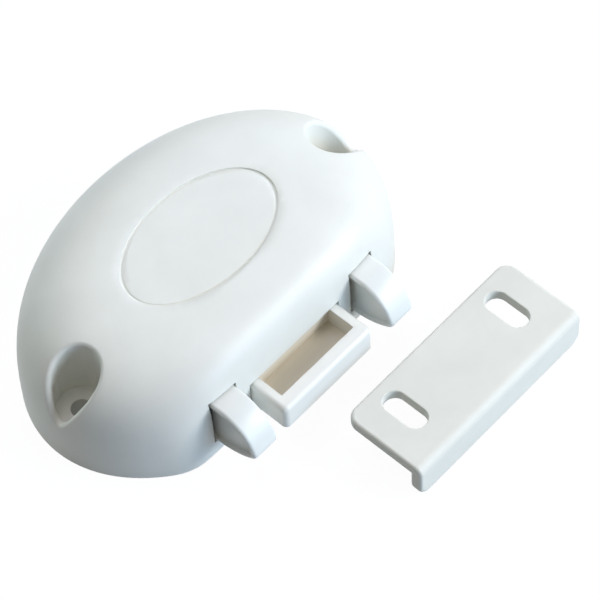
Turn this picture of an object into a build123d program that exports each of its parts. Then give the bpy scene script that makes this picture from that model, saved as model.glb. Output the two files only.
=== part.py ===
from build123d import *
import math
import os

os.makedirs("parts", exist_ok=True)

# All sizes in millimetres. +X runs along the latch, -Y is its front face where the bolts
# stick out, +Z is up from the door. The origin is midway between the two screw holes,
# on the face that rests on the door.

# Cover: an oval dome with its front sliced off flat
cover_length = 92.0
cover_half_depth = 32.9
cover_height = 27.5
cover_wall = 2.2
front_y = -24.1
oval_centre_y = front_y + 25.0
corner_sharpness = 34.0
corner_softening = 22.0
profile_drop = 3.5
profile_spread = 4.7
front_drop = 7.5

# Screw wells
hole_spacing = 77.0
well_bore = 10.6
well_wall = 1.7
well_floor = 9.0
well_rim_round = 0.9
screw_hole = 4.5

# Engraved oval ring on top of the cover
ring_length = 40.1
ring_width = 24.2
ring_line = 0.7
ring_depth = 0.4
ring_centre_y = front_y + 25.6

# Bolts
bolt_spacing = 41.6
bolt_width = 6.8
bolt_reach = 11.1
bolt_bottom = 4.5
bolt_top = 17.9
bolt_flat = 3.0
bolt_tail = 26.0
shank_top = 13.9
bolt_recess = 0.9
bolt_rim = 1.1
bolt_gap = 0.35
ear_reach = 3.2
ear_length = 3.0
ear_bottom = 6.2
ear_top = 12.4

# Release slide and its cross bar
release_width = 26.6
release_reach = 9.6
release_tail = 8.0
release_bottom = 5.9
release_top = 12.7
release_gap = 0.3
release_round = 1.3
pocket_length = 21.8
pocket_front = 3.2
pocket_back = 0.8
pocket_depth = 5.0
bar_clear = 0.3
bar_thickness = 2.0
bar_height = 6.0
travel = 9.5
body_clear = 0.3

# Springs and their pins
wire = 0.5
bolt_spring_radius = 1.85
bolt_spring_seat = 6.0
bolt_spring_turns = 11.0
release_spring_radius = 2.1
release_spring_seat = 2.5
release_spring_turns = 11.0
spring_clear = 0.2
pin_radius = 0.9
pin_fit = 0.02
pin_tip_clear = 1.0

# Base plate, its rails and the walls that hold the springs
plate_thickness = 2.5
plate_gap = 0.25
run_fit = 0.08
rail_width = 4.8
bolt_wall_y = 42.0
release_wall_y = 28.0
spring_wall = 3.0
spring_wall_width = 11.0
spring_wall_top = 13.4

# Bridge over the bolt shanks
bridge_front = 18.0
bridge_depth = 7.0
bridge_half = 31.0
bridge_top = 2.0
bridge_inner = 14.0
bridge_screw_x = 28.0

# Small screws
screw_radius = 1.35
screw_fit = 0.02
screw_head_radius = 2.5
cover_screw_spots = [(-33.0, 10.0), (33.0, 10.0), (-32.0, 40.0), (32.0, 40.0)]
cover_screw_length = 11.0
boss_radius = 3.4
bridge_screw_length = 11.0
bridge_head_height = 1.6

# Keeper
keeper_length = 50.5
keeper_width = 20.6
keeper_thickness = 3.0
keeper_height = 9.9
keeper_corner = 3.0
keeper_bend = 2.0
slot_spacing = 32.0
slot_length = 10.7
slot_width = 5.2
slot_from_edge = 8.3
keeper_x = 20.3
keeper_y = front_y - 18.0


def dome_outline(level, inset):
    """Points of the dome's plan outline at a height given as a share of the full height."""
    half_x = cover_length / 2 - inset
    half_y = cover_half_depth - inset
    front = oval_centre_y - front_y - inset
    oval_share = (1 - level**profile_drop) ** (1 / profile_spread)
    front_share = (1 - level**front_drop) ** (1 / profile_spread)
    sharpness = corner_sharpness - corner_softening * level
    points = []
    count = 72
    for i in range(count):
        angle = math.pi / 2 + 2 * math.pi * i / count
        c = math.cos(angle)
        s = math.sin(angle)
        oval = oval_share / math.sqrt((c / half_x) ** 2 + (s / half_y) ** 2)
        reach = oval
        if s < -0.05:
            flat = front * front_share / -s
            reach = oval * (1 + (oval / flat) ** sharpness) ** (-1 / sharpness)
        points.append((reach * c, oval_centre_y + reach * s))
    return points


dome_levels = [0.0, 0.2, 0.36, 0.5, 0.62, 0.72, 0.8, 0.865, 0.915, 0.95, 0.974, 0.989, 0.997]


def dome_solid(inset, low, high):
    """A solid dome between two heights, smaller all round by the inset."""
    with BuildPart() as dome:
        for level in dome_levels:
            with BuildSketch(Plane.XY.offset(low + (high - low) * level)):
                with BuildLine():
                    Spline(*dome_outline(level, inset), periodic=True)
                make_face()
        loft()
    return dome.part

well_x = hole_spacing / 2
bolt_x = bolt_spacing / 2
inner_front = front_y + cover_wall
outer_dome = dome_solid(0, 0, cover_height)
inner_dome = dome_solid(cover_wall, 0, cover_height - cover_wall)
groove_floor = dome_solid(ring_depth, 0, cover_height - ring_depth)


def block(x_middle, x_size, y_from, y_to, z_from, z_to, mode=Mode.ADD):
    """A plain block given by its middle and size along X and its ends along Y and Z."""
    with Locations((x_middle, (y_from + y_to) / 2, (z_from + z_to) / 2)):
        Box(x_size, y_to - y_from, z_to - z_from, mode=mode)


# Groove of the engraved oval: a ring cut down to one even depth below the dome
with BuildPart() as groove:
    with BuildSketch(Plane.XY.offset(cover_height - 6)):
        with Locations((0, ring_centre_y)):
            Ellipse(ring_length / 2, ring_width / 2)
            Ellipse(ring_length / 2 - ring_line, ring_width / 2 - ring_line, mode=Mode.SUBTRACT)
    extrude(amount=8)
    add(groove_floor, mode=Mode.SUBTRACT)

# Inside of the cover: the hollow, less the well tubes, screw bosses and hold-down ribs
with BuildPart() as hollow:
    add(inner_dome)
    with BuildSketch(Plane.XY):
        with Locations((-well_x, 0), (well_x, 0)):
            Circle(well_bore / 2 + well_wall)
    extrude(amount=cover_height, mode=Mode.SUBTRACT)
    with BuildSketch(Plane.XY.offset(plate_thickness)):
        with Locations(*[(x, front_y + y) for x, y in cover_screw_spots]):
            Circle(boss_radius)
    extrude(amount=cover_height, mode=Mode.SUBTRACT)
    with BuildSketch(Plane.XY.offset(release_top + run_fit)):
        with Locations((-7, inner_front + 7), (7, inner_front + 7)):
            Rectangle(1.8, 14.5)
    extrude(amount=cover_height, mode=Mode.SUBTRACT)

# Cover
bolt_hole_half = bolt_width / 2 + bolt_gap
release_hole_half = release_width / 2 + release_gap
with BuildPart() as cover:
    add(outer_dome)
    with BuildSketch(Plane.XY.offset(well_floor)):
        with Locations((-well_x, 0), (well_x, 0)):
            Circle(well_bore / 2)
    extrude(amount=cover_height, mode=Mode.SUBTRACT)
    rims = [e for e in cover.edges() if abs(abs(e.bounding_box().center().X) - well_x) < 1]
    rims = [e for e in rims if e.bounding_box().min.Z > well_floor and e.length > 3 * well_bore]
    fillet(rims, well_rim_round)
    print("rounded well rims", len(rims))
    add(hollow.part, mode=Mode.SUBTRACT)
    with BuildSketch(Plane.XY):
        with Locations((-well_x, 0), (well_x, 0)):
            Circle(screw_hole / 2)
    extrude(amount=well_floor + 1, mode=Mode.SUBTRACT)
    with BuildSketch(Plane.XY):
        with Locations(*[(x, front_y + y) for x, y in cover_screw_spots]):
            Circle(screw_radius + screw_fit)
    extrude(amount=cover_screw_length + 1.5, mode=Mode.SUBTRACT)
    add(groove.part, mode=Mode.SUBTRACT)
    for side in (-1, 1):
        bolt_hole_z = (bolt_bottom - bolt_gap, bolt_top + bolt_gap)
        block(side * bolt_x, 2 * bolt_hole_half, front_y - 1, front_y + 6, *bolt_hole_z, Mode.SUBTRACT)
    slide_hole_z = (release_bottom - release_gap, release_top + release_gap)
    block(0, 2 * release_hole_half, front_y - 1, front_y + 3, *slide_hole_z, Mode.SUBTRACT)
cover.part.label = "cover"
print("cover", round(cover.part.volume), "solids", len(cover.solids()), cover.part.is_valid)

# Base plate with its runners and spring walls
with BuildPart() as base_plate:
    with BuildSketch(Plane.XY):
        with BuildLine():
            Spline(*dome_outline(0.0, cover_wall + plate_gap), periodic=True)
        make_face()
        with Locations((-well_x, 0), (well_x, 0)):
            Circle(well_bore / 2 + well_wall + plate_gap, mode=Mode.SUBTRACT)
    extrude(amount=plate_thickness)
    for side in (-1, 1):
        runner_y = (front_y + 3.2, front_y + 38)
        block(side * bolt_x, rail_width, *runner_y, plate_thickness, bolt_bottom - run_fit)
        block(side * 7.5, 3, front_y + 3.2, front_y + 20, plate_thickness, release_bottom - run_fit)
        wall_y = (front_y + bolt_wall_y, front_y + bolt_wall_y + spring_wall)
        block(side * bolt_x, spring_wall_width, *wall_y, plate_thickness, spring_wall_top)
    wall_y = (front_y + release_wall_y, front_y + release_wall_y + spring_wall)
    block(0, spring_wall_width, *wall_y, plate_thickness, spring_wall_top)
    spring_z = (bolt_bottom + shank_top) / 2
    release_spring_z = (release_bottom + release_top) / 2
    with BuildSketch(Plane.XZ.offset(-(front_y + release_wall_y + spring_wall + 1))):
        with Locations((0, release_spring_z)):
            Circle(pin_radius + pin_fit)
    extrude(amount=spring_wall + 2, mode=Mode.SUBTRACT)
    with BuildSketch(Plane.XZ.offset(-(front_y + bolt_wall_y + spring_wall + 1))):
        with Locations((-bolt_x, spring_z), (bolt_x, spring_z)):
            Circle(pin_radius + pin_fit)
    extrude(amount=spring_wall + 2, mode=Mode.SUBTRACT)
    bridge_middle_y = front_y + bridge_front + bridge_depth / 2
    with BuildSketch(Plane.XY):
        with Locations((-bridge_screw_x, bridge_middle_y), (bridge_screw_x, bridge_middle_y)):
            Circle(screw_radius + screw_fit)
    extrude(amount=plate_thickness, mode=Mode.SUBTRACT)
    for x, y in cover_screw_spots:
        with Locations((x, front_y + y, 0)):
            Cylinder(screw_radius + screw_fit, 3 * plate_thickness, mode=Mode.SUBTRACT)
            Cone(
                screw_head_radius + screw_fit,
                screw_radius + screw_fit,
                screw_head_radius - screw_radius,
                align=(Align.CENTER, Align.CENTER, Align.MIN),
                mode=Mode.SUBTRACT,
            )
base_plate.part.label = "base_plate"
print("base plate", round(base_plate.part.volume), "solids", len(base_plate.solids()))


def bolt_face(inset, x):
    """The bolt's nose seen from the side, smaller by the inset, drawn at a place along X."""
    reach = bolt_reach - inset
    top = bolt_top - inset
    low = bolt_bottom + inset
    tip = low + 0.39 * (top - low)
    rear = front_y + 3.0
    with BuildSketch(Plane.YZ.offset(x)) as face:
        with BuildLine():
            Line((rear, low), (rear, top))
            Line((rear, top), (front_y - bolt_flat, top))
            shoulder = (front_y - 0.74 * reach, low + 0.81 * (top - low))
            nose_top = (front_y - 0.975 * reach, low + 0.49 * (top - low))
            ThreePointArc((front_y - bolt_flat, top), shoulder, nose_top)
            nose_low = (front_y - 0.935 * reach, low + 0.295 * (top - low))
            ThreePointArc(nose_top, (front_y - reach, tip), nose_low)
            ThreePointArc(nose_low, (front_y - 0.54 * reach, low + 0.1 * (top - low)), (front_y, low))
            Line((front_y, low), (rear, low))
        make_face()
    return face.sketch


def make_bolt(side):
    """One sprung bolt: cam nose, shank with a spring bore, and the ear the bar pulls on."""
    with BuildPart() as bolt:
        extrude(bolt_face(0, -bolt_width / 2), amount=bolt_width)
        block(0, bolt_width, front_y + 2.9, front_y + bolt_tail, bolt_bottom, shank_top)
        ear_y = front_y + inner_gap + bar_thickness + body_clear
        ear_x = -side * (bolt_width / 2 + ear_reach / 2)
        block(ear_x, ear_reach, ear_y, ear_y + ear_length, ear_bottom, ear_top)
        extrude(bolt_face(bolt_rim, -bolt_width / 2), amount=bolt_recess, mode=Mode.SUBTRACT)
        far_face = bolt_face(bolt_rim, bolt_width / 2 - bolt_recess)
        extrude(far_face, amount=bolt_recess, mode=Mode.SUBTRACT)
        with BuildSketch(Plane.XZ.offset(-(front_y + bolt_tail - bolt_spring_seat))):
            with Locations((0, spring_z)):
                Circle(bolt_spring_radius + wire / 2 + spring_clear)
        extrude(amount=-bolt_spring_seat - 1, mode=Mode.SUBTRACT)
    return Pos(side * bolt_x, 0, 0) * bolt.part


inner_gap = cover_wall + body_clear
left_bolt = make_bolt(-1)
left_bolt.label = "left_bolt"
right_bolt = make_bolt(1)
right_bolt.label = "right_bolt"
print("left bolt", round(left_bolt.volume), "solids", len(left_bolt.solids()))

# Release slide
with BuildPart() as release_slide:
    slide_y = (front_y - release_reach, front_y + release_tail)
    block(0, release_width, *slide_y, release_bottom, release_top)
    front_edges = release_slide.edges().filter_by(Axis.Z).sort_by(Axis.Y)[:2]
    fillet(front_edges, release_round)
    top_edges = release_slide.faces().sort_by(Axis.Z)[-1].edges()
    top_edges = top_edges.filter_by_position(Axis.Y, slide_y[0] - 1, front_y + 1)
    fillet(top_edges, release_round)
    pocket_y = (front_y - release_reach + pocket_front, front_y + pocket_back)
    block(0, pocket_length, *pocket_y, release_top - pocket_depth, release_top + 1, Mode.SUBTRACT)
    bar_y = (front_y + inner_gap, front_y + inner_gap + bar_thickness)
    bar_z = (release_bottom + 0.2, release_bottom + 0.2 + bar_height)
    block(0, release_width + 1, *bar_y, release_bottom - 1, bar_z[1], Mode.SUBTRACT)
    with BuildSketch(Plane.XZ.offset(-(front_y + release_tail - release_spring_seat))):
        with Locations((0, release_spring_z)):
            Circle(release_spring_radius + wire / 2 + spring_clear)
    extrude(amount=-release_spring_seat - 1, mode=Mode.SUBTRACT)
release_slide.part.label = "release_slide"
print("release slide", round(release_slide.part.volume), "solids", len(release_slide.solids()))

# Cross bar that takes both bolts back with the slide
with BuildPart() as drive_bar:
    block(0, bolt_spacing - bolt_width - 2 * bar_clear, *bar_y, *bar_z)
drive_bar.part.label = "drive_bar"

# Bridge that keeps both bolt shanks down and in line
with BuildPart() as bridge:
    bridge_y = (front_y + bridge_front, front_y + bridge_front + bridge_depth)
    roof = shank_top + run_fit
    for side in (-1, 1):
        outer_from = bolt_x + bolt_width / 2 + run_fit
        inner_to = bolt_x - bolt_width / 2 - run_fit
        outer_mid = side * (outer_from + bridge_half) / 2
        inner_mid = side * (bridge_inner + inner_to) / 2
        block(outer_mid, bridge_half - outer_from, *bridge_y, plate_thickness, roof)
        block(inner_mid, inner_to - bridge_inner, *bridge_y, plate_thickness, roof)
    block(0, 2 * bridge_half, *bridge_y, roof, roof + bridge_top)
    with BuildSketch(Plane.XY.offset(plate_thickness)):
        with Locations((-bridge_screw_x, bridge_middle_y), (bridge_screw_x, bridge_middle_y)):
            Circle(screw_radius + screw_fit)
    extrude(amount=roof + bridge_top, mode=Mode.SUBTRACT)
bridge.part.label = "bolt_bridge"


def coil_turns(radius, start_y, end_y, turns, x, z):
    """Spring centre line: flat closed turns at both ends and open turns between."""
    closed = 1.0
    span = end_y - start_y - wire
    end_pitch = wire + 0.08
    open_pitch = (span - 2 * closed * end_pitch) / (turns - 2 * closed)
    steps = int(round(turns * 4))
    points = []
    along = start_y + wire / 2
    for i in range(steps + 1):
        angle = 2 * math.pi * i / 4
        points.append((x + radius * math.cos(angle), along, z + radius * math.sin(angle)))
        turn = i / 4
        near_end = turn < closed or turn >= turns - closed
        along += (end_pitch if near_end else open_pitch) / 4
    return points, open_pitch


def coil(name, radius, start_y, end_y, turns, x, z):
    """One unbroken round wire wound along Y, swept along arcs of a quarter turn."""
    points, open_pitch = coil_turns(radius, start_y, end_y, turns, x, z)
    print(name, "gap between open turns", round(open_pitch - wire, 2))
    tangents = []
    for i in range(len(points)):
        before = points[max(i - 1, 0)]
        after = points[min(i + 1, len(points) - 1)]
        angle = 2 * math.pi * i / 4
        rise = (after[1] - before[1]) / (1 if i in (0, len(points) - 1) else 2)
        flat = radius * math.pi / 2
        tangents.append(Vector(-math.sin(angle) * flat, rise, math.cos(angle) * flat))
    with BuildPart() as spring:
        with BuildLine() as path:
            for i in range(len(points) - 1):
                biarc(Vector(*points[i]), tangents[i].normalized(), Vector(*points[i + 1]), tangents[i + 1].normalized())
        with BuildSketch(Plane(origin=points[0], z_dir=tangents[0])):
            Circle(wire / 2)
        sweep(path=path.line)
    spring.part.label = name
    return spring.part


def biarc(p1, t1, p2, t2):
    """Two arcs that meet smoothly and join two points with given directions."""
    v = p2 - p1
    t = t1 + t2
    a = v.dot(t)
    b = 2 * (1 - t1.dot(t2))
    d = (-a + math.sqrt(a * a + b * v.dot(v))) / b
    q1 = p1 + t1 * d
    q2 = p2 - t2 * d
    joint = (q1 + q2) * 0.5
    for start, corner, end in ((p1, q1, joint), (joint, q2, p2)):
        arm_a = (start - corner).length
        chord = (end - start).length
        middle = (start + end) * 0.5
        out = (corner - middle).normalized()
        cos_half = (chord / 2) / arm_a
        radius = chord / 2 / math.sqrt(max(1 - cos_half**2, 1e-12))
        sagitta = radius - math.sqrt(radius**2 - (chord / 2) ** 2)
        ThreePointArc(start, middle + out * sagitta, end)


bolt_spring_from = front_y + bolt_tail - bolt_spring_seat
bolt_spring_to = front_y + bolt_wall_y
slide_spring_from = front_y + release_tail - release_spring_seat
slide_spring_to = front_y + release_wall_y
bolt_coil = (bolt_spring_radius, bolt_spring_from, bolt_spring_to, bolt_spring_turns)
slide_coil = (release_spring_radius, slide_spring_from, slide_spring_to, release_spring_turns)
left_spring = coil("left_bolt_spring", *bolt_coil, -bolt_x, spring_z)
right_spring = coil("right_bolt_spring", *bolt_coil, bolt_x, spring_z)
slide_spring = coil("slide_spring", *slide_coil, 0, release_spring_z)
for spring in (left_spring, right_spring, slide_spring):
    print(spring.label, "volume", round(spring.volume, 1), "solids", len(spring.solids()))


def make_pin(name, x, z, wall_y, tail):
    """A plain steel pin pressed through its wall, standing forward inside the spring."""
    y_from = front_y + tail + travel + pin_tip_clear
    y_to = front_y + wall_y + spring_wall
    with BuildPart() as pin:
        with BuildSketch(Plane.XZ.offset(-y_to)):
            with Locations((x, z)):
                Circle(pin_radius)
        extrude(amount=y_to - y_from)
        chamfer(pin.edges().sort_by(Axis.Y)[0], 0.3)
    pin.part.label = name
    return pin.part


pins = [
    make_pin("left_spring_pin", -bolt_x, spring_z, bolt_wall_y, bolt_tail),
    make_pin("right_spring_pin", bolt_x, spring_z, bolt_wall_y, bolt_tail),
    make_pin("slide_spring_pin", 0, release_spring_z, release_wall_y, release_tail),
]

# Countersunk screws that hold the base plate in the cover
with BuildPart() as cover_screws:
    for x, y in cover_screw_spots:
        with Locations((x, front_y + y, 0)):
            head = screw_head_radius - screw_radius
            low = (Align.CENTER, Align.CENTER, Align.MIN)
            Cylinder(screw_radius, cover_screw_length, align=low)
            Cone(screw_head_radius, screw_radius, head, align=low)
            Cylinder(0.75, 0.9, align=low, mode=Mode.SUBTRACT)
cover_screws.part.label = "cover_screws"

# Pan-headed screws that hold the bridge down
with BuildPart() as bridge_screws:
    bridge_roof = roof + bridge_top
    for side in (-1, 1):
        with Locations((side * bridge_screw_x, bridge_middle_y, bridge_roof - bridge_screw_length)):
            Cylinder(screw_radius, bridge_screw_length, align=low)
        with Locations((side * bridge_screw_x, bridge_middle_y, bridge_roof)):
            Cylinder(screw_head_radius, bridge_head_height, align=low)
            Cylinder(0.75, 3, mode=Mode.SUBTRACT)
bridge_screws.part.label = "bridge_screws"

# Keeper: an angle plate with two slots, its short flange turned down away from the latch
with BuildPart() as keeper:
    keeper_y_far = keeper_y - keeper_width
    with BuildSketch(Plane.XY.offset(keeper_height - keeper_thickness)):
        with Locations((keeper_x, keeper_y - keeper_width / 2)):
            Rectangle(keeper_length, keeper_width)
    extrude(amount=keeper_thickness)
    flange_y = (keeper_y_far, keeper_y_far + keeper_thickness)
    block(keeper_x, keeper_length, *flange_y, 0, keeper_height - keeper_thickness / 2)
    near_corners = keeper.edges().filter_by(Axis.Z).sort_by(Axis.Y)[-2:]
    fillet(near_corners, keeper_corner)
    flange_corners = keeper.edges().filter_by(Axis.Y).group_by(Axis.Z)[0]
    fillet(flange_corners, keeper_corner)
    bend = keeper.edges().filter_by(Axis.X).sort_by(lambda e: e.center().Z - e.center().Y)[-1]
    fillet(bend, keeper_bend)
    with BuildSketch(Plane.XY.offset(keeper_height)):
        slot_y = keeper_y - slot_from_edge
        with Locations((keeper_x - slot_spacing / 2, slot_y), (keeper_x + slot_spacing / 2, slot_y)):
            SlotOverall(slot_length, slot_width, rotation=90)
    extrude(amount=-keeper_thickness - 1, mode=Mode.SUBTRACT)
keeper.part.label = "keeper"
print("keeper", round(keeper.part.volume), "solids", len(keeper.solids()))

pieces = [cover.part, base_plate.part, left_bolt, right_bolt, release_slide.part, drive_bar.part]
pieces += [bridge.part, left_spring, right_spring, slide_spring, *pins]
pieces += [cover_screws.part, bridge_screws.part, keeper.part]
for piece in pieces:
    export_step(piece, "parts/" + piece.label + ".step")
print(len(pieces), "pieces written")
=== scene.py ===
# %% [markdown]
# # A white plastic slam latch and its keeper
# The latch screws to the inside of a cabinet door. Two sprung cam bolts stick out of its
# domed cover, and a finger slide between them pulls both bolts back. The slotted keeper
# lies beside it. Every measured solid comes in first, because each later piece is placed
# against it and rides on one of its bodies.

# %% Load the measured frame
import math

import bmesh
import bpy
from mathutils import Matrix, Vector


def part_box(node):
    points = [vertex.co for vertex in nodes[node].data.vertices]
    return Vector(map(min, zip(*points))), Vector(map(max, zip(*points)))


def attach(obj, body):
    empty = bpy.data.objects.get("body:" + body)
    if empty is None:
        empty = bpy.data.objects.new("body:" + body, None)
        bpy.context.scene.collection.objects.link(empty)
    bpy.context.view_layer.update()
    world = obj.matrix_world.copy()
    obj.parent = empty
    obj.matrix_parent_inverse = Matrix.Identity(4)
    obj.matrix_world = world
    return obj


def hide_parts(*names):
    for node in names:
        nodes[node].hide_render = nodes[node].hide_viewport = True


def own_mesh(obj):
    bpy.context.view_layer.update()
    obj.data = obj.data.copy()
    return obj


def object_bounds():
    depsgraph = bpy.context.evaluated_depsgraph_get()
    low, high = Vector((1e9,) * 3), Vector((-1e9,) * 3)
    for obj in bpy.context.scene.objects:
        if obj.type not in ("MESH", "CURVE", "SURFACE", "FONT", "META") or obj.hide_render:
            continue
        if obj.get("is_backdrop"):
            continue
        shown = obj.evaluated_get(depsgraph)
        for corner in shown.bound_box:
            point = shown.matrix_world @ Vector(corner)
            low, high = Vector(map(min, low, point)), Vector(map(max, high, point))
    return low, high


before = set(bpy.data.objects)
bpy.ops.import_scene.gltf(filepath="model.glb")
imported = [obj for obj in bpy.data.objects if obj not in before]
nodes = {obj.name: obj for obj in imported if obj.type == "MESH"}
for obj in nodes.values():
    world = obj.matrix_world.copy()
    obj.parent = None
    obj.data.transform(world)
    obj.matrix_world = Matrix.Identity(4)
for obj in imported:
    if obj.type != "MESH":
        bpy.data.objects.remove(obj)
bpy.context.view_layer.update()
MM = 0.001

# %% [markdown]
# A few small helpers serve the whole scene. One turns a written sRGB colour into the linear
# numbers that Blender calculates with. One adds a node, sets it and links it, so that a
# material reads as a list of what is plugged into what. The others put an object in the
# scene and hand over an empty node tree.

# %% Helpers for colours, nodes and objects
def linear(colour):
    """Linear RGBA of an sRGB colour written as #RRGGBB."""
    parts = [int(colour[i : i + 2], 16) / 255 for i in (1, 3, 5)]
    light = [c / 12.92 if c <= 0.04045 else ((c + 0.055) / 1.055) ** 2.4 for c in parts]
    return (*light, 1.0)


def add_node(tree, kind, sockets=None, **settings):
    """Adds a node. Its input sockets take values, other sockets, or a node's first output."""
    node = tree.nodes.new(kind)
    for name, value in settings.items():
        setattr(node, name, value)
    for key, value in (sockets or {}).items():
        if isinstance(value, bpy.types.Node):
            value = value.outputs[0]
        if isinstance(value, bpy.types.NodeSocket):
            tree.links.new(value, node.inputs[key])
        else:
            node.inputs[key].default_value = value
    return node


def add_object(name, data):
    """A new object with this data, linked to the scene."""
    thing = bpy.data.objects.new(name, data)
    bpy.context.scene.collection.objects.link(thing)
    return thing


def empty_tree(owner):
    """The node tree of a material or a world, with nothing in it."""
    owner.use_nodes = True
    owner.node_tree.nodes.clear()
    return owner.node_tree


print("white in linear light", [round(v, 3) for v in linear("#EEF1EF")])

# %% [markdown]
# The photograph looks down on the latch from in front of its left end, with a long lens,
# so parallel edges stay nearly parallel. The camera's place, aim and small roll were
# measured by fitting the model's corners to the photograph.

# %% Camera
CAMERA_PLACE = Vector((-242.84, -271.82, 569.19)) * MM
CAMERA_AIM = Vector((9.8, -16.53, 10.0)) * MM
CAMERA_ROLL = math.radians(-3.66)

camera_data = bpy.data.cameras.new("photo_camera")
camera_data.sensor_width = 36
camera_data.sensor_fit = "HORIZONTAL"
camera_data.lens = 192
camera_data.clip_start = 0.05
camera_data.clip_end = 20
camera = add_object("photo_camera", camera_data)
camera.location = CAMERA_PLACE
facing = (CAMERA_AIM - CAMERA_PLACE).to_track_quat("-Z", "Y").to_matrix()
camera.rotation_euler = (facing @ Matrix.Rotation(CAMERA_ROLL, 3, "Z")).to_euler()
bpy.context.scene.camera = camera
bpy.context.scene.view_settings.view_transform = "Standard"
print("camera is", round((CAMERA_PLACE - CAMERA_AIM).length / MM), "mm from its aim")

# %% [markdown]
# The photograph is lit from its right, from above and from behind on the right, with weak
# cool light on the front, and the left side of the dome gets only weak warm light from the
# room. Five large soft lamps do this. Each one's power and tint came from rendering it
# alone and fitting the sum to the tones in the photograph, and was then set so that the
# white plastic hardly clips.

# %% Lamps
LAMP_AIM = Vector((0, 0, 0.01))
# Each lamp's name, place and side in metres, power in watts, and tint.
LAMPS = [
    ("key_lamp", (0.62, -0.78, 0.6), 0.5, 8.3, (1.03, 1.0, 0.96)),
    ("front_lamp", (0.25, -1.0, 0.35), 0.5, 3.5, (0.62, 1.0, 1.48)),
    ("top_lamp", (0.12, 0.35, 1.2), 0.9, 3.9, (1.05, 1.0, 1.07)),
    ("back_right_lamp", (0.75, 0.6, 0.7), 0.6, 3.4, (0.78, 0.98, 1.24)),
    ("back_left_lamp", (-0.35, 1.0, 0.55), 0.6, 2.1, (0.7, 1.0, 1.0)),
]
for name, place, side, power, tint in LAMPS:
    lamp_data = bpy.data.lights.new(name, "AREA")
    lamp_data.shape = "SQUARE"
    lamp_data.size = side
    lamp_data.energy = power
    lamp_data.color = tint
    lamp = add_object(name, lamp_data)
    lamp.location = place
    lamp.rotation_euler = (LAMP_AIM - Vector(place)).to_track_quat("-Z", "Y").to_euler()
watts = sum(power for name, place, side, power, tint in LAMPS)
print("lamps", len(LAMPS), "watts in all", round(watts, 1))

# %% [markdown]
# The room behind the latch has to look white and still give hardly any light, so that no
# extra light falls on the object. The world tells rays apart to do both: white for a ray
# from the camera, from a gloss or through glass, and dim and warm for all others.

# %% The room
ROOM_LIGHT = (1.0, 0.83, 0.6, 1)
ROOM_STRENGTH = 0.115
WHITE = (1, 1, 1, 1)


def seen_directly(tree):
    """A node that gives 1 for rays from the camera, from a gloss or through glass, else 0."""
    ray = add_node(tree, "ShaderNodeLightPath").outputs
    pair = {0: ray["Is Camera Ray"], 1: ray["Is Glossy Ray"]}
    seen = add_node(tree, "ShaderNodeMath", pair, operation="MAXIMUM")
    pair = {0: seen, 1: ray["Is Transmission Ray"]}
    return add_node(tree, "ShaderNodeMath", pair, operation="MAXIMUM")


world = bpy.data.worlds.new("studio_world")
bpy.context.scene.world = world
tree = empty_tree(world)
room = add_node(tree, "ShaderNodeBackground", {"Color": ROOM_LIGHT, "Strength": ROOM_STRENGTH})
white = add_node(tree, "ShaderNodeBackground", {"Color": WHITE, "Strength": 1.0})
mixed = add_node(tree, "ShaderNodeMixShader", {0: seen_directly(tree), 1: room, 2: white})
add_node(tree, "ShaderNodeOutputWorld", {"Surface": mixed})
print("nodes in the world", len(tree.nodes))

# %% [markdown]
# The latch lies on white paper. Where the camera sees the paper, most of its white is its
# own light, so the shadow stays faint. For all other rays it is a plain light grey, so that
# it lights the latch only a little from below. It lies a hair under the latch, because two
# surfaces at the same height would flicker.

# %% The paper
PAPER_GREY = "#A4A9AD"
PAPER_GLOW = 1.12
PAPER_GLOW_SHARE = 0.86
PAPER_HALF = 3.0
PAPER_Z = -0.0002

paper = bpy.data.materials.new("white_paper_floor")
tree = empty_tree(paper)
terms = {0: seen_directly(tree), 1: PAPER_GLOW_SHARE}
share = add_node(tree, "ShaderNodeMath", terms, operation="MULTIPLY")
matt = add_node(tree, "ShaderNodeBsdfDiffuse", {"Color": linear(PAPER_GREY)})
glow = add_node(tree, "ShaderNodeEmission", {"Color": WHITE, "Strength": PAPER_GLOW})
mixed = add_node(tree, "ShaderNodeMixShader", {0: share, 1: matt, 2: glow})
add_node(tree, "ShaderNodeOutputMaterial", {"Surface": mixed})

floor_mesh = bpy.data.meshes.new("floor")
signs = [(-1, -1), (1, -1), (1, 1), (-1, 1)]
corners = [(x * PAPER_HALF, y * PAPER_HALF, PAPER_Z) for x, y in signs]
floor_mesh.from_pydata(corners, [], [(0, 1, 2, 3)])
floor_mesh.materials.append(paper)
floor = add_object("floor", floor_mesh)
floor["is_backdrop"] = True
print("paper is", 2 * PAPER_HALF, "m wide")

# %% [markdown]
# Cover, slide, bolts and keeper are all injection-moulded plastic. The cover and keeper
# look like ABS out of a finely sparked mould: satin, with faint cloudy tone where the melt
# flowed. Their real grain is finer than a tenth of a millimetre and wouldn't show, so it is
# drawn at about half a millimetre. The bolts and slide are acetal from a polished mould:
# smoother and glossier. One function builds all of these from sizes in millimetres.

# %% How moulded plastic looks
PLASTIC_IOR = 1.53
CLOUD_MM = 14.0
# The sockets in which a Mix node takes two colours and gives their mixture.
FIRST_COLOUR, SECOND_COLOUR, MIXTURE = 6, 7, 2


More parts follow.
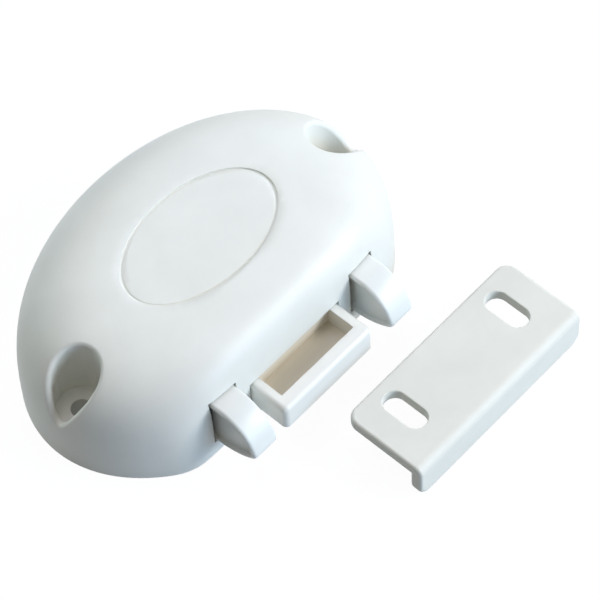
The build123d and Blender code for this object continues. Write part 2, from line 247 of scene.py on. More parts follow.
def moulded(name, tone, cloud_tone, roughness, grain_mm, relief_mm=0.0, uneven=0.05):
    """White moulded plastic: cloudy tone, fine grain and slightly uneven gloss."""
    material = bpy.data.materials.new(name)
    tree = empty_tree(material)
    point = add_node(tree, "ShaderNodeTexCoord").outputs["Object"]
    spread = {"Vector": point, "Scale": 1 / (CLOUD_MM * MM), "Detail": 3.0, "Roughness": 0.55}
    cloud = add_node(tree, "ShaderNodeTexNoise", spread)
    spread = {"Vector": point, "Scale": 1 / (grain_mm * MM), "Detail": 2.0, "Roughness": 0.6}
    grain = add_node(tree, "ShaderNodeTexNoise", spread)
    limits = {"Value": cloud, "From Min": 0.35, "From Max": 0.65}
    ramp = add_node(tree, "ShaderNodeMapRange", limits)
    tones = {0: ramp, FIRST_COLOUR: linear(tone), SECOND_COLOUR: linear(cloud_tone)}
    colour = add_node(tree, "ShaderNodeMix", tones, data_type="RGBA")
    limits = {"Value": grain, "From Min": 0.3, "From Max": 0.7}
    limits.update({"To Min": roughness - uneven, "To Max": roughness + uneven})
    gloss = add_node(tree, "ShaderNodeMapRange", limits)
    relief = {"Height": grain, "Strength": 1.0, "Distance": relief_mm * MM}
    bump = add_node(tree, "ShaderNodeBump", relief)
    skin = {"Base Color": colour.outputs[MIXTURE], "Roughness": gloss, "Normal": bump}
    skin["IOR"] = PLASTIC_IOR
    plastic = add_node(tree, "ShaderNodeBsdfPrincipled", skin)
    add_node(tree, "ShaderNodeOutputMaterial", {"Surface": plastic})
    return material


print("tone clouds are about", CLOUD_MM, "mm wide")

# %% [markdown]
# The tone of every part that shows was matched by comparing renders with the photograph.
# The keeper is a shade darker and duller than the cover. The base plate and the bridge
# don't show in it, and get the plain finish that inner parts usually have.

# %% The five plastics
satin_abs = moulded(
    "satin_white_abs", "#F0F1EB", "#EBECE6", roughness=0.45, grain_mm=0.5, relief_mm=0.012
)
keeper_abs = moulded(
    "satin_keeper_abs", "#ECECE4", "#E6E6DE", roughness=0.58, grain_mm=0.6, relief_mm=0.012
)
bolt_acetal = moulded(
    "polished_bolt_acetal", "#F1F5F2", "#ECF0ED", roughness=0.34, grain_mm=0.9, uneven=0.015
)
slide_acetal = moulded(
    "polished_slide_acetal", "#F6F7F2", "#F1F2ED", roughness=0.34, grain_mm=0.9, uneven=0.015
)
inner_abs = moulded(
    "plain_inner_abs", "#DFE0DC", "#D8D9D5", roughness=0.5, grain_mm=0.7, relief_mm=0.015
)
plastics = (satin_abs, keeper_abs, bolt_acetal, slide_acetal, inner_abs)
print("plastics", [material.name for material in plastics])

# %% [markdown]
# In the photograph the slide's pocket is darker and warmer than the lamps' shade makes it,
# so painted shade, a grey-brown tone, lies in it. The painted shade is a second tone inside
# a box a touch larger than the pocket, and the box ends just below the pocket's rim.

# %% Painted shade in the slide's pocket
# The colour of the painted shade in the pocket.
POCKET_SHADE_TONE = "#E2DBCC"
# The share of the way from the box's middle to its side at which the painted shade
# starts to fade.
SHADE_FADE = 0.98
# The steps from the slide's lowest and highest corner to those of the painted shade's box.
FROM_LOW, FROM_HIGH = Vector((2.3, 3.1, 1.7)) * MM, Vector((-2.3, -7.1, -0.2)) * MM


def shade_in_box(material, tone, low, high):
    """Paints a tone of shade into a material's base colour inside a box, given in metres."""
    tree = material.node_tree
    point = add_node(tree, "ShaderNodeTexCoord").outputs["Object"]
    terms = {0: point, 1: (low + high) / 2}
    away = add_node(tree, "ShaderNodeVectorMath", terms, operation="SUBTRACT")
    away = add_node(tree, "ShaderNodeVectorMath", {0: away}, operation="ABSOLUTE")
    terms = {0: away, 1: (high - low) / 2}
    away = add_node(tree, "ShaderNodeVectorMath", terms, operation="DIVIDE")
    split = add_node(tree, "ShaderNodeSeparateXYZ", {0: away}).outputs
    most = add_node(tree, "ShaderNodeMath", {0: split[0], 1: split[1]}, operation="MAXIMUM")
    most = add_node(tree, "ShaderNodeMath", {0: most, 1: split[2]}, operation="MAXIMUM")
    limits = {"Value": most, "From Min": SHADE_FADE, "From Max": 1.0, "To Min": 1.0, "To Max": 0.0}
    share = add_node(tree, "ShaderNodeMapRange", limits)
    plastic = next(node for node in tree.nodes if node.type == "BSDF_PRINCIPLED")
    unshaded = plastic.inputs["Base Color"].links[0].from_socket
    tones = {0: share, FIRST_COLOUR: unshaded, SECOND_COLOUR: linear(tone)}
    colour = add_node(tree, "ShaderNodeMix", tones, data_type="RGBA")
    tree.links.new(colour.outputs[MIXTURE], plastic.inputs["Base Color"])


slide_low, slide_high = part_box("release_slide")
shade_low, shade_high = slide_low + FROM_LOW, slide_high + FROM_HIGH
# The slide's pocket gets a tone of painted shade.
shade_in_box(slide_acetal, POCKET_SHADE_TONE, shade_low, shade_high)
print("painted shade box in mm", [round(v / MM, 1) for v in shade_high - shade_low])

# %% [markdown]
# The metal parts are plain steel: rolled strip for the cross bar, drawn wire for the
# springs, ground pins, and zinc-plated screws. Rolling and grinding leave fine lines along
# the metal, so there the pattern is stretched. The lines are drawn at a tenth or two of a
# millimetre, coarser than real ones, so that they show at all.

# %% Steels
def steel(name, tone, line_tone, roughness, line_mm, stretch=(1, 1, 1)):
    """Steel with fine marks, stretched by a factor along each of X, Y and Z."""
    material = bpy.data.materials.new(name)
    tree = empty_tree(material)
    point = add_node(tree, "ShaderNodeTexCoord").outputs["Object"]
    scale = tuple(1 / (line_mm * MM * factor) for factor in stretch)
    mapped = add_node(tree, "ShaderNodeMapping", {"Vector": point, "Scale": scale})
    spread = {"Vector": mapped, "Scale": 1.0, "Detail": 3.0}
    marks = add_node(tree, "ShaderNodeTexNoise", spread)
    limits = {"Value": marks, "From Min": 0.3, "From Max": 0.7}
    ramp = add_node(tree, "ShaderNodeMapRange", limits)
    tones = {0: ramp, FIRST_COLOUR: linear(tone), SECOND_COLOUR: linear(line_tone)}
    colour = add_node(tree, "ShaderNodeMix", tones, data_type="RGBA")
    limits = {"Value": marks, "To Min": roughness - 0.08, "To Max": roughness + 0.08}
    gloss = add_node(tree, "ShaderNodeMapRange", limits)
    relief = {"Height": marks, "Strength": 0.6, "Distance": 0.01 * MM}
    bump = add_node(tree, "ShaderNodeBump", relief)
    skin = {"Base Color": colour.outputs[MIXTURE], "Roughness": gloss, "Normal": bump}
    skin["Metallic"] = 1.0
    metal = add_node(tree, "ShaderNodeBsdfPrincipled", skin)
    add_node(tree, "ShaderNodeOutputMaterial", {"Surface": metal})
    return material


strip_steel = steel("rolled_strip_steel", "#B9BBBD", "#A4A6A9", 0.34, 0.15, (40, 1, 1))
wire_steel = steel("drawn_spring_wire", "#A9ABB0", "#8F9297", 0.3, 0.2)
pin_steel = steel("ground_pin_steel", "#BCBEC2", "#A9ACB0", 0.25, 0.12, (1, 30, 1))
zinc_steel = steel("zinc_plated_steel", "#C6C9CF", "#AEB2BA", 0.32, 0.6)
print("steels", [m.name for m in (strip_steel, wire_steel, pin_steel, zinc_steel)])

# %% [markdown]
# The measured solids come in with knife-sharp edges. A moulded part never has them: the
# mould's own edges leave a small radius, and it is what catches the light along every
# edge in the photograph. So each plastic part is copied, its split corners are merged and
# its flat areas are joined into one face each. A Bevel modifier then rounds what is sharp,
# on all of them but the bolts, which have a step of their own.

# %% Copies of the solids
MERGE = 0.001 * MM
FLAT_WITHIN = math.radians(0.1)


def merged(node):
    """A working copy of a solid's mesh, its doubled corners merged and flat faces joined."""
    work = bmesh.new()
    work.from_mesh(nodes[node].data)
    bmesh.ops.remove_doubles(work, verts=work.verts, dist=MERGE)
    parts = {"verts": work.verts, "edges": work.edges}
    bmesh.ops.dissolve_limit(work, angle_limit=FLAT_WITHIN, **parts)
    work.normal_update()
    return work


def as_piece(work, name):
    """A new object with the mesh of a working copy, which ends here."""
    mesh = bpy.data.meshes.new(name)
    work.to_mesh(mesh)
    work.free()
    return add_object(name, mesh)


def settle(piece):
    """Turns a piece's modifiers into plain mesh and removes them."""
    bpy.context.view_layer.update()
    graph = bpy.context.evaluated_depsgraph_get()
    mesh = bpy.data.meshes.new_from_object(piece.evaluated_get(graph))
    piece.modifiers.clear()
    piece.data = mesh


def stand_for(piece, node, body, material):
    """The piece takes over from one solid: its place, its body and its material."""
    piece.data.materials.clear()
    piece.data.materials.append(material)
    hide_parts(node)
    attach(piece, body)


print("corners within", MERGE / MM, "mm are merged")

# %% [markdown]
# Each edge gets its own width through a bevel weight, so that one part can have wide and
# tight rounds. Only sharp edges get a weight, because the facets of a curved wall meet in
# edges too. Blender's overlap clamp keeps the rounds from running into each other.

# %% How edges are rounded
SHARP = math.radians(35)


def rounded(
    node, name, body, slot, material, radius_mm,
    steps=2, clamp=True, wide_mm=0.0, wide_at=None, reshape=None,
):
    """A moulded part: the solid with every sharp edge rounded, and some rounded wider."""
    work = merged(node)
    if reshape is not None:
        reshape(work)
    most = max(radius_mm, wide_mm)
    share = work.edges.layers.float.new("bevel_weight_edge")
    for edge in work.edges:
        if len(edge.link_faces) == 2 and edge.calc_face_angle() > SHARP:
            wide = wide_at is not None and all(wide_at(end.co / MM) for end in edge.verts)
            edge[share] = (wide_mm if wide else radius_mm) / most
    piece = as_piece(work, name)
    round_off = piece.modifiers.new("edge_round", "BEVEL")
    round_off.width = most * MM
    round_off.segments = steps
    round_off.limit_method = "WEIGHT"
    round_off.harden_normals = True
    round_off.use_clamp_overlap = clamp
    piece.data.shade_smooth()
    piece.data.set_sharp_from_angle(angle=SHARP)
    settle(piece)
    stand_for(piece, node, body, material)
    print(name, "faces", len(piece.data.polygons))


print("edges over", round(math.degrees(SHARP)), "degrees are rounded")

# %% [markdown]
# The keeper's outer edges are rounded wide, and the edges of its two slots are tight. The
# overlap clamp would shrink the wide rounds to nothing, so the keeper goes without it.

# %% The keeper
def in_mm(length):
    """A length from the frame in millimetres, to the tenth in which the part is sized."""
    return round(length / MM, 1)


# The keeper's middle, each slot's distance from it and from the edge towards the latch, and
# how far from a slot's middle its own edges reach at most.
keeper_low, keeper_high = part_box("keeper")
KEEPER_X = in_mm((keeper_low.x + keeper_high.x) / 2)
SLOT_X, SLOT_Y = 16.0, in_mm(keeper_high.y) - 8.3
SLOT_CLEAR_X, SLOT_CLEAR_Y = 3.0, 6.0


def off_the_slots(point):
    """Whether a point in millimetres lies away from the keeper's two slots."""
    beside = abs(abs(point.x - KEEPER_X) - SLOT_X) > SLOT_CLEAR_X
    return beside or abs(point.y - SLOT_Y) > SLOT_CLEAR_Y


keeper_edges = {"steps": 4, "clamp": False, "wide_mm": 0.8, "wide_at": off_the_slots}
rounded(
    "keeper", "angle_keeper", "loose_keeper", "keeper_plastic", keeper_abs, 0.25, **keeper_edges
)

# %% [markdown]
# The slide is the part that a fingertip works, and its rounds show, so they get one step
# more than those of the base plate and the bridge, which sit inside the cover.

# %% Slide, base plate and bridge
rounded("release_slide", "finger_slide", "release", "slide_plastic", slide_acetal, 0.25, steps=3)
rounded("base_plate", "ribbed_base_plate", "housing", "inner_plastic", inner_abs, 0.2)
rounded("bolt_bridge", "shank_bridge", "housing", "inner_plastic", inner_abs, 0.25)

# %% [markdown]
# A bolt's nose is a cam: flat on top, then a long curve down to a blunt tip and back
# under. Both of its sides are sunk inside a narrow rim, and the rim's outer edge is well
# rounded. A Bevel modifier tears on a rim this narrow, so the nose is drawn as loops: one
# side view of the cam, drawn again and again along X with the inset that each place has.
# The side view is made of arcs, and this is how an arc is found from three of its points.

# %% An arc through three points
def arc(start, through, end, count):
    """Points on the circle through three points, from the first to just before the last."""
    ax, ay = start
    bx, by = through
    cx, cy = end
    aa, bb, cc = ax**2 + ay**2, bx**2 + by**2, cx**2 + cy**2
    d = 2 * (ax * (by - cy) + bx * (cy - ay) + cx * (ay - by))
    ux = (aa * (by - cy) + bb * (cy - ay) + cc * (ay - by)) / d
    uy = (aa * (cx - bx) + bb * (ax - cx) + cc * (bx - ax)) / d
    radius = math.hypot(ax - ux, ay - uy)
    first = math.atan2(ay - uy, ax - ux)
    sweep = math.remainder(math.atan2(cy - uy, cx - ux) - first, math.tau)
    angles = [first + sweep * i / count for i in range(count)]
    return [(ux + radius * math.cos(a), uy + radius * math.sin(a)) for a in angles]


quarter = arc((1, 0), (0.8, 0.6), (0, 1), 2)
print("a quarter circle in two", [(round(x, 3), round(y, 3)) for x, y in quarter])

# %% [markdown]
# Three arcs follow each other round the cam: the long upper curve, the blunt tip and the
# shallow curve back under. Where they pass and end is given as shares of the nose's reach
# and of its height, so a smaller copy of the side view keeps the same form. The reach and
# the height come from the frame. So does the bolt's middle, which its spring shares.

# %% Side view of the bolt's nose
cover_low, cover_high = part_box("cover")
bolt_low, bolt_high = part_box("right_bolt")
spring_low, spring_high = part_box("right_bolt_spring")
bolt_middle = (spring_low.x + spring_high.x) / 2
FRONT = in_mm(cover_low.y)
BOLT_X, BOLT_HALF = in_mm(bolt_middle), in_mm(bolt_high.x - bolt_middle)
REACH = in_mm(cover_low.y - bolt_low.y)
LOW, TOP = in_mm(bolt_low.z), in_mm(bolt_high.z)
FLAT, ROOT_Y = 3.0, FRONT + 1.5
UPPER_THROUGH, UPPER_END = (0.74, 0.81), (0.975, 0.49)
TIP_THROUGH, TIP_END = (1.0, 0.39), (0.935, 0.295)
UNDER_THROUGH = (0.54, 0.1)


def nose_outline(inset):
    """The nose in side view as (y, z) points in millimetres, smaller by the inset."""
    reach, top, low = REACH - inset, TOP - inset, LOW + inset

    def spot(shares):
        """The (y, z) point at these shares of the reach and of the height."""
        return (FRONT - shares[0] * reach, low + shares[1] * (top - low))

    upper, lower, heel = spot(UPPER_END), spot(TIP_END), (FRONT, low)
    points = [(ROOT_Y, low), (ROOT_Y, top)]
    points += arc((FRONT - FLAT, top), spot(UPPER_THROUGH), upper, 28)
    points += arc(upper, spot(TIP_THROUGH), lower, 10)
    points += arc(lower, spot(UNDER_THROUGH), heel, 20)
    return points + [heel]


print("points round the nose", len(nose_outline(0)))

# %% [markdown]
# The stations along X run from the sunk face of one side over its rim and round its outer
# edge. Each says how far from the bolt's middle it is and how much smaller the side view is
# drawn there. The foot of the rim's inner wall and its lip slope by about a tenth of a
# millimetre, so that neither is a knife-sharp corner.

# %% Stations across a bolt
RIM, SUNK, RIM_ROUND = 1.1, 0.9, 0.8
FOOT, LIP = 0.12, 0.1
ROUND_STEPS = 6


def nose_stations():
    """(distance from the middle, inset) pairs from the sunk face out over the rounded rim."""
    stations = [(BOLT_HALF - SUNK, RIM + FOOT), (BOLT_HALF - SUNK + FOOT, RIM)]
    stations += [(BOLT_HALF - LIP, RIM), (BOLT_HALF, RIM - LIP)]
    for i in range(ROUND_STEPS + 1):
        angle = math.pi / 2 * i / ROUND_STEPS
        along = BOLT_HALF - RIM_ROUND * (1 - math.cos(angle))
        stations.append((along, RIM_ROUND * (1 - math.sin(angle))))
    return stations


print("stations on each half of a bolt", len(nose_stations()))

# %% [markdown]
# The same stations serve the other side, mirrored and in the opposite order. The shank
# behind the nose is hidden in the cover, so it stays as measured: the solid is cut off
# just behind the drawn nose, inside the cover's front wall, and closed.

# %% The two cam bolts
CUT_BACK = 0.01
NOSE_SHARP = math.radians(40)


def cam_bolt(node, name, side, body):
    """One bolt: the drawn nose and the measured shank in one mesh."""
    work = merged(node)
    parts = work.verts[:] + work.edges[:] + work.faces[:]
    cut = {"plane_co": (0, (ROOT_Y - CUT_BACK) * MM, 0), "plane_no": (0, -1, 0)}
    bmesh.ops.bisect_plane(work, geom=parts, clear_outer=True, **cut)
    open_edges = [edge for edge in work.edges if edge.is_boundary]
    bmesh.ops.holes_fill(work, edges=open_edges, sides=0)
    for face in work.faces:
        face.smooth = False
    half = nose_stations()
    loops = []
    for along, inset in half + [(-along, inset) for along, inset in reversed(half)]:
        x = side * BOLT_X + along
        outline = [(x * MM, y * MM, z * MM) for y, z in nose_outline(inset)]
        loops.append([work.verts.new(point) for point in outline])
    made = [work.faces.new(loops[0]), work.faces.new(loops[-1])]
    count = len(loops[0])
    for first, second in zip(loops, loops[1:]):
        for i in range(count):
            after = (i + 1) % count
            made.append(work.faces.new((first[i], first[after], second[after], second[i])))
    for face in made:
        face.smooth = True
    bmesh.ops.recalc_face_normals(work, faces=work.faces)
    piece = as_piece(work, name)
    piece.data.set_sharp_from_angle(angle=NOSE_SHARP)
    stand_for(piece, node, body, bolt_acetal)
    print(name, "faces", len(piece.data.polygons))


cam_bolt("left_bolt", "left_cam_bolt", -1, "left_latch_bolt")
cam_bolt("right_bolt", "right_cam_bolt", 1, "right_latch_bolt")

# %% [markdown]
# The cover's dome is one smooth surface, so its facets are only smoothed. Its edges are
# the rim of each opening, the foot and the engraved oval. In the photograph the oval's
# line is bright on its left and dark on its right, as where a floor lies a little lower
# than the dome round it. So the points inside the line go down by a quarter millimetre.

# %% The domed cover
OVAL_CENTRE_Y = FRONT + 25.6
OVAL_HALF_X, OVAL_HALF_Y = 19.4, 11.45
# Inside the oval, only the dome's outer surface is higher than this. The floor of the
# engraved line and the inside of the cover are lower.
TOP_ABOVE = in_mm(cover_high.z) - 0.2
FLOOR_DROP = 0.25


def sink_oval(work):
    """Lowers the dome's outer surface inside the engraved oval."""
    lowered = 0
    for corner in work.verts:
        x, y, z = corner.co / MM
        inside = (x / OVAL_HALF_X) ** 2 + ((y - OVAL_CENTRE_Y) / OVAL_HALF_Y) ** 2 < 1
        if inside and z > TOP_ABOVE:
            corner.co.z -= FLOOR_DROP * MM
            lowered += 1
    print("points lowered inside the oval", lowered)


rounded("cover", "domed_cover", "housing", "cover_plastic", satin_abs, 0.18, reshape=sink_oval)

# %% [markdown]
# Springs and screws follow a rule, so Geometry Nodes make them. Each tree has named inputs
# for its sizes, so one tree serves every spring and another every screw. The sums in a tree
# are long, so they are written as rows: a name for the result, the operation, and the two
# numbers that go in, which may be inputs of the tree or earlier results.

# %% Helpers for Geometry Nodes
def sized_tree(name, inputs):
    """A Geometry Nodes tree with these named inputs, and a table of what is known in it."""
    tree = bpy.data.node_groups.new(name, "GeometryNodeTree")
    for label, kind in inputs.items():
        tree.interface.new_socket(name=label, in_out="INPUT", socket_type=kind)
    tree.interface.new_socket(
        name="Geometry", in_out="OUTPUT", socket_type="NodeSocketGeometry"
    )
    given = tree.nodes.new("NodeGroupInput").outputs
    return tree, {label: given[label] for label in inputs}


def work_out(tree, known, rows):
    """Adds the sums in the rows to the tree, and their results to what is known."""
    for result, operation, first, second in rows:
        terms = {0: known.get(first, first), 1: known.get(second, second)}
        known[result] = add_node(tree, "ShaderNodeMath", terms, operation=operation).outputs[0]


def close_tree(tree, shape, material):
    """Ends a tree: its copies become real mesh and get their material."""
    real = add_node(tree, "GeometryNodeRealizeInstances", {"Geometry": shape})
    painted = {"Geometry": real, "Material": material}
    painted = add_node(tree, "GeometryNodeSetMaterial", painted)
    add_node(tree, "NodeGroupOutput", {"Geometry": painted})


def grown(name, mesh, tree, values):
    """A new object on this mesh, grown by a tree with these input values into plain mesh."""
    piece = add_object(name, mesh)
    modifier = piece.modifiers.new(tree.name, "NODES")
    modifier.node_group = tree
    for socket in tree.interface.items_tree:
        if socket.in_out == "INPUT" and socket.name in values:
            modifier[socket.identifier] = values[socket.name]
    settle(piece)
    return piece


FLOAT, MATERIAL = "NodeSocketFloat", "NodeSocketMaterial"
print("sockets for sizes are", FLOAT)

# %% [markdown]
# A compression spring is a round wire wound on a helix, with its end turns closed so that
# it stands square. Every point of the wire finds its place from its own index: its turn
# gives its angle, and the closed and open pitches that it has passed say how far along it is.

# %% The sums that wind a spring
STEPS_PER_TURN = 24.0
SPRING_INPUTS = dict.fromkeys(("Wire", "Radius", "Length"), FLOAT)
SPRING_INPUTS.update(dict.fromkeys(("Turns", "Closed Turns", "Closed Pitch"), FLOAT))
SPRING_INPUTS["Material"] = MATERIAL
SPRING_SUMS = [
    ("steps", "MULTIPLY", "Turns", STEPS_PER_TURN),
    ("points", "ADD", "steps", 1.0),
    ("turn", "DIVIDE", "index", STEPS_PER_TURN),
    ("angle", "MULTIPLY", "turn", math.tau),
    ("both ends", "MULTIPLY", "Closed Turns", 2.0),
    ("open turns", "SUBTRACT", "Turns", "both ends"),
    ("span", "SUBTRACT", "Length", "Wire"),
    ("closed length", "MULTIPLY", "both ends", "Closed Pitch"),
    ("open length", "SUBTRACT", "span", "closed length"),
    ("open pitch", "DIVIDE", "open length", "open turns"),
    ("first turns", "MINIMUM", "turn", "Closed Turns"),
    ("first", "MULTIPLY", "first turns", "Closed Pitch"),
    ("since first", "SUBTRACT", "turn", "Closed Turns"),
    ("past first", "MAXIMUM", "since first", 0.0),
    ("middle turns", "MINIMUM", "past first", "open turns"),
    ("middle", "MULTIPLY", "middle turns", "open pitch"),
    ("since middle", "SUBTRACT", "past first", "open turns"),
    ("last turns", "MAXIMUM", "since middle", 0.0),
    ("last", "MULTIPLY", "last turns", "Closed Pitch"),
    ("half wire", "MULTIPLY", "Wire", 0.5),
    ("first and middle", "ADD", "first", "middle"),
    ("last and wire", "ADD", "last", "half wire"),
    ("along", "ADD", "first and middle", "last and wire"),
    ("cosine", "COSINE", "angle", 0.0),
    ("across", "MULTIPLY", "cosine", "Radius"),
    ("sine", "SINE", "angle", 0.0),
    ("height", "MULTIPLY", "sine", "Radius"),
]
print("sums for a spring", len(SPRING_SUMS))

# %% [markdown]
# The tree lays out a straight line of points, moves each one to the place that the sums
# give, and makes the line a curve. A round profile then runs along it as the wire.

# %% The tree that winds a spring
WIRE_SIDES = 10


def spring_tree():
    """A node tree that winds one spring along +Y from the origin, sized in metres."""
    tree, known = sized_tree("wound_spring", SPRING_INPUTS)
    known["index"] = tree.nodes.new("GeometryNodeInputIndex").outputs[0]
    work_out(tree, known, SPRING_SUMS)
    line = {"Count": known["points"], "Offset": (0, 0, 0)}
    line = add_node(tree, "GeometryNodeMeshLine", line)
    place = {0: known["across"], 1: known["along"], 2: known["height"]}
    place = add_node(tree, "ShaderNodeCombineXYZ", place)
    bent = add_node(tree, "GeometryNodeSetPosition", {"Geometry": line, "Position": place})
    path = add_node(tree, "GeometryNodeMeshToCurve", {"Mesh": bent})
    ring = {"Resolution": WIRE_SIDES, "Radius": known["half wire"]}
    ring = add_node(tree, "GeometryNodeCurvePrimitiveCircle", ring)
    tube = {"Curve": path, "Profile Curve": ring, "Fill Caps": True}
    tube = add_node(tree, "GeometryNodeCurveToMesh", tube)
    close_tree(tree, tube, known["Material"])
    return tree


winder = spring_tree()
print("nodes that wind a spring", len(winder.nodes))

# %% [markdown]
# Every spring fills the box of its solid and rides on the housing.

# %% The three springs
WIRE_MM = 0.5
TURNS = 11.0
CLOSED_TURNS = 1.0
CLOSED_PITCH_MM = 0.58


def spring(node, name):
    """Winds a spring in the box of its solid, on the housing."""
    low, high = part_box(node)
    middle, length = (low + high) / 2, high.y - low.y
    wire = WIRE_MM * MM
    values = {"Wire": wire, "Radius": (high.z - low.z - wire) / 2, "Length": length}
    values.update({"Turns": TURNS, "Closed Turns": CLOSED_TURNS})
    values.update({"Closed Pitch": CLOSED_PITCH_MM * MM, "Material": wire_steel})
    piece = grown(name, bpy.data.meshes.new(name), winder, values)
    piece.data.transform(Matrix.Translation((middle.x, low.y, middle.z)))
    piece.data.shade_smooth()
    stand_for(piece, node, "housing", wire_steel)
    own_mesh(piece)


spring("left_bolt_spring", "left_wound_spring")
spring("right_bolt_spring", "right_wound_spring")
spring("slide_spring", "slide_wound_spring")

# %% [markdown]
# Six small self-tapping screws hold the latch together. Every one has a turned head with a
# cross recess and a rolled thread. The thread is a cylinder whose radius follows the height
# less the angle: the ridge comes back after each pitch, and climbs as it goes round.

# %% The sums that roll a thread
SCREW_SIZES = (
    "Shank Radius", "Outer Radius", "Inner Radius", "Head Height", "Length",
    "Pitch", "Thread Depth", "Recess Width", "Recess Length", "Recess Depth",
)
SCREW_INPUTS = {"Geometry": "NodeSocketGeometry", **dict.fromkeys(SCREW_SIZES, FLOAT)}
SCREW_INPUTS.update({"Turn": "NodeSocketVector", "Material": MATERIAL})
SCREW_SUMS = [
    ("body", "SUBTRACT", "Length", "Head Height"),
    ("polar angle", "ARCTAN2", "y", "x"),
    ("share of turn", "DIVIDE", "polar angle", math.tau),
    ("pitches up", "DIVIDE", "z", "Pitch"),
    ("phase", "SUBTRACT", "pitches up", "share of turn"),
    ("half ridge", "PINGPONG", "phase", 0.5),
    ("ridge", "MULTIPLY", "half ridge", 2.0),
    ("depth share", "DIVIDE", "Thread Depth", "Shank Radius"),
    ("loss", "MULTIPLY", "depth share", "ridge"),
    ("shrink", "SUBTRACT", 1.0, "loss"),
    ("half body", "MULTIPLY", "body", 0.5),
    ("middle", "ADD", "Head Height", "half body"),
    ("both depths", "MULTIPLY", "Recess Depth", 2.0),
]
print("sums for a screw", len(SCREW_SUMS))

# %% [markdown]
# The head is a cone, and two crossed blocks cut the recess out of it. The same tree makes
# both kinds of screw, because only the sizes and the way the head tapers differ.

# %% The tree that makes a screw
SHANK_SIDES, SHANK_RINGS = 24, 72
HEAD_SIDES = 40


def screw_tree():
    """A node tree that puts a screw on each point, with its head's outer face on the point."""
    tree, known = sized_tree("small_screw", SCREW_INPUTS)
    at = add_node(tree, "GeometryNodeInputPosition")
    split = add_node(tree, "ShaderNodeSeparateXYZ", {0: at}).outputs
    known.update({"x": split[0], "y": split[1], "z": split[2]})
    work_out(tree, known, SCREW_SUMS)

    rod = {"Vertices": SHANK_SIDES, "Side Segments": SHANK_RINGS}
    rod.update({"Radius": known["Shank Radius"], "Depth": known["body"]})
    rod = add_node(tree, "GeometryNodeMeshCylinder", rod, fill_type="TRIANGLE_FAN")
    shrink = {0: known["shrink"], 1: known["shrink"], 2: 1.0}
    shrink = add_node(tree, "ShaderNodeCombineXYZ", shrink)
    cut = add_node(tree, "ShaderNodeVectorMath", {0: at, 1: shrink}, operation="MULTIPLY")
    thread = add_node(tree, "GeometryNodeSetPosition", {"Geometry": rod, "Position": cut})
    lift = add_node(tree, "ShaderNodeCombineXYZ", {2: known["middle"]})
    thread = add_node(tree, "GeometryNodeTransform", {"Geometry": thread, "Translation": lift})

    cone = {"Vertices": HEAD_SIDES, "Depth": known["Head Height"]}
    cone.update({"Radius Top": known["Inner Radius"], "Radius Bottom": known["Outer Radius"]})
    cone = add_node(tree, "GeometryNodeMeshCone", cone)
    long, wide, deep = known["Recess Length"], known["Recess Width"], known["both depths"]
    along_x = add_node(tree, "ShaderNodeCombineXYZ", {0: long, 1: wide, 2: deep})
    along_y = add_node(tree, "ShaderNodeCombineXYZ", {0: wide, 1: long, 2: deep})
    first_slot = add_node(tree, "GeometryNodeMeshCube", {"Size": along_x})
    second_slot = add_node(tree, "GeometryNodeMeshCube", {"Size": along_y})
    head = {0: cone, 1: first_slot}
    head = add_node(tree, "GeometryNodeMeshBoolean", head, operation="DIFFERENCE")
    tree.links.new(second_slot.outputs[0], head.inputs[1])
    whole = add_node(tree, "GeometryNodeJoinGeometry", {0: head})
    tree.links.new(thread.outputs[0], whole.inputs[0])

    spread = {"Points": known["Geometry"], "Instance": whole, "Rotation": known["Turn"]}
    spread = add_node(tree, "GeometryNodeInstanceOnPoints", spread)
    close_tree(tree, spread, known["Material"])
    return tree


screw_maker = screw_tree()
print("nodes that make a screw", len(screw_maker.nodes))

# %% [markdown]
# Four countersunk screws come up from the underside through the base plate into the cover.
# Two pan-headed screws go down through the bridge into the base plate. A pan head is a
# little narrower at its outer face, a countersunk head is widest there.

# %% The six screws
THREAD = {"Shank Radius": 1.35, "Pitch": 1.1, "Thread Depth": 0.32}
COUNTERSUNK = {**THREAD, "Length": 11.0, "Head Height": 1.15}
COUNTERSUNK.update({"Outer Radius": 2.5, "Inner Radius": 1.35})
COUNTERSUNK.update({"Recess Width": 0.55, "Recess Length": 2.4, "Recess Depth": 0.85})
PAN_HEADED = {**THREAD, "Length": 12.6, "Head Height": 1.6}
PAN_HEADED.update({"Outer Radius": 2.2, "Inner Radius": 2.5})
PAN_HEADED.update({"Recess Width": 0.6, "Recess Length": 2.6, "Recess Depth": 1.1})
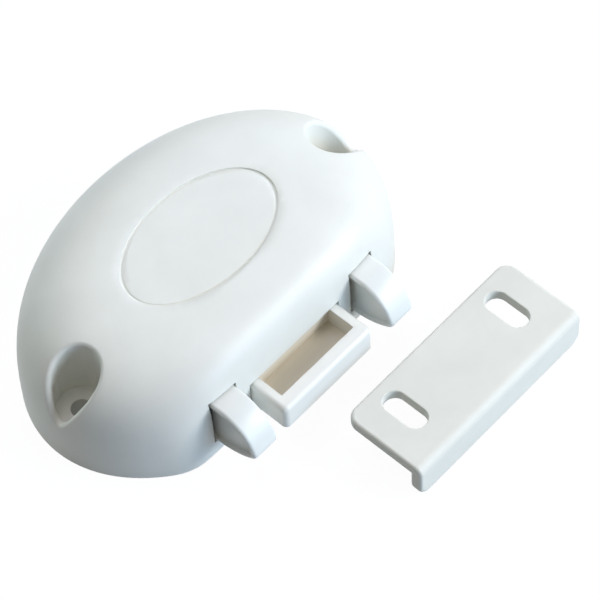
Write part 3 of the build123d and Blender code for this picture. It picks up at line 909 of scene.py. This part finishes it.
# The half distances along X, and the Y, of the front pair and the back pair.
COVER_PAIRS = [(33.0, FRONT + 10), (32.0, FRONT + 40)]
# The tree's screw points up. The last angle turns its cross recess away from the axes.
FROM_BELOW, FROM_ABOVE = (0, 0, 0.35), (math.pi, 0, 0.6)
THREAD_SHARP = math.radians(32)


def screws(node, name, spots, sizes_mm, turn):
    """Puts screws on the spots, in millimetres, and lets them stand for their solids."""
    mesh = bpy.data.meshes.new(name)
    mesh.from_pydata([Vector(spot) * MM for spot in spots], [], [])
    values = {size: value * MM for size, value in sizes_mm.items()}
    values.update({"Turn": turn, "Material": zinc_steel})
    piece = grown(name, mesh, screw_maker, values)
    piece.data.shade_smooth()
    piece.data.set_sharp_from_angle(angle=THREAD_SHARP)
    stand_for(piece, node, "housing", zinc_steel)
    print(name, len(spots), "screws, faces", len(piece.data.polygons))


low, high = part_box("bridge_screws")
bridge_half = in_mm((high.x - low.x) / 2) - PAN_HEADED["Inner Radius"]
bridge_y, head_top = (low.y + high.y) / 2 / MM, high.z / MM
cover_spots = [(sign * x, y, 0) for x, y in COVER_PAIRS for sign in (-1, 1)]
bridge_spots = [(sign * bridge_half, bridge_y, head_top) for sign in (-1, 1)]
screws("cover_screws", "countersunk_screws", cover_spots, COUNTERSUNK, FROM_BELOW)
screws("bridge_screws", "pan_headed_screws", bridge_spots, PAN_HEADED, FROM_ABOVE)

# %% [markdown]
# The cross bar and the three pins are as plain on the real latch as in the solids, so
# these solids stay and only get their steel.

# %% Give the solids that stay their finish
finishes = {
    "drive_bar": strip_steel,
    "left_spring_pin": pin_steel,
    "right_spring_pin": pin_steel,
    "slide_spring_pin": pin_steel,
}
for name, finish in finishes.items():
    mesh = nodes[name].data
    mesh.materials.clear()
    mesh.materials.append(finish)
print("finished", len(finishes), "solids")

# %% [markdown]
# The box round the finished pieces should stay that of the measured solids, so it is
# worked out and printed.

# %% The box round the finished pieces
low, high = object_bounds()
print("visual box in mm", [round(v / MM, 1) for v in high - low])
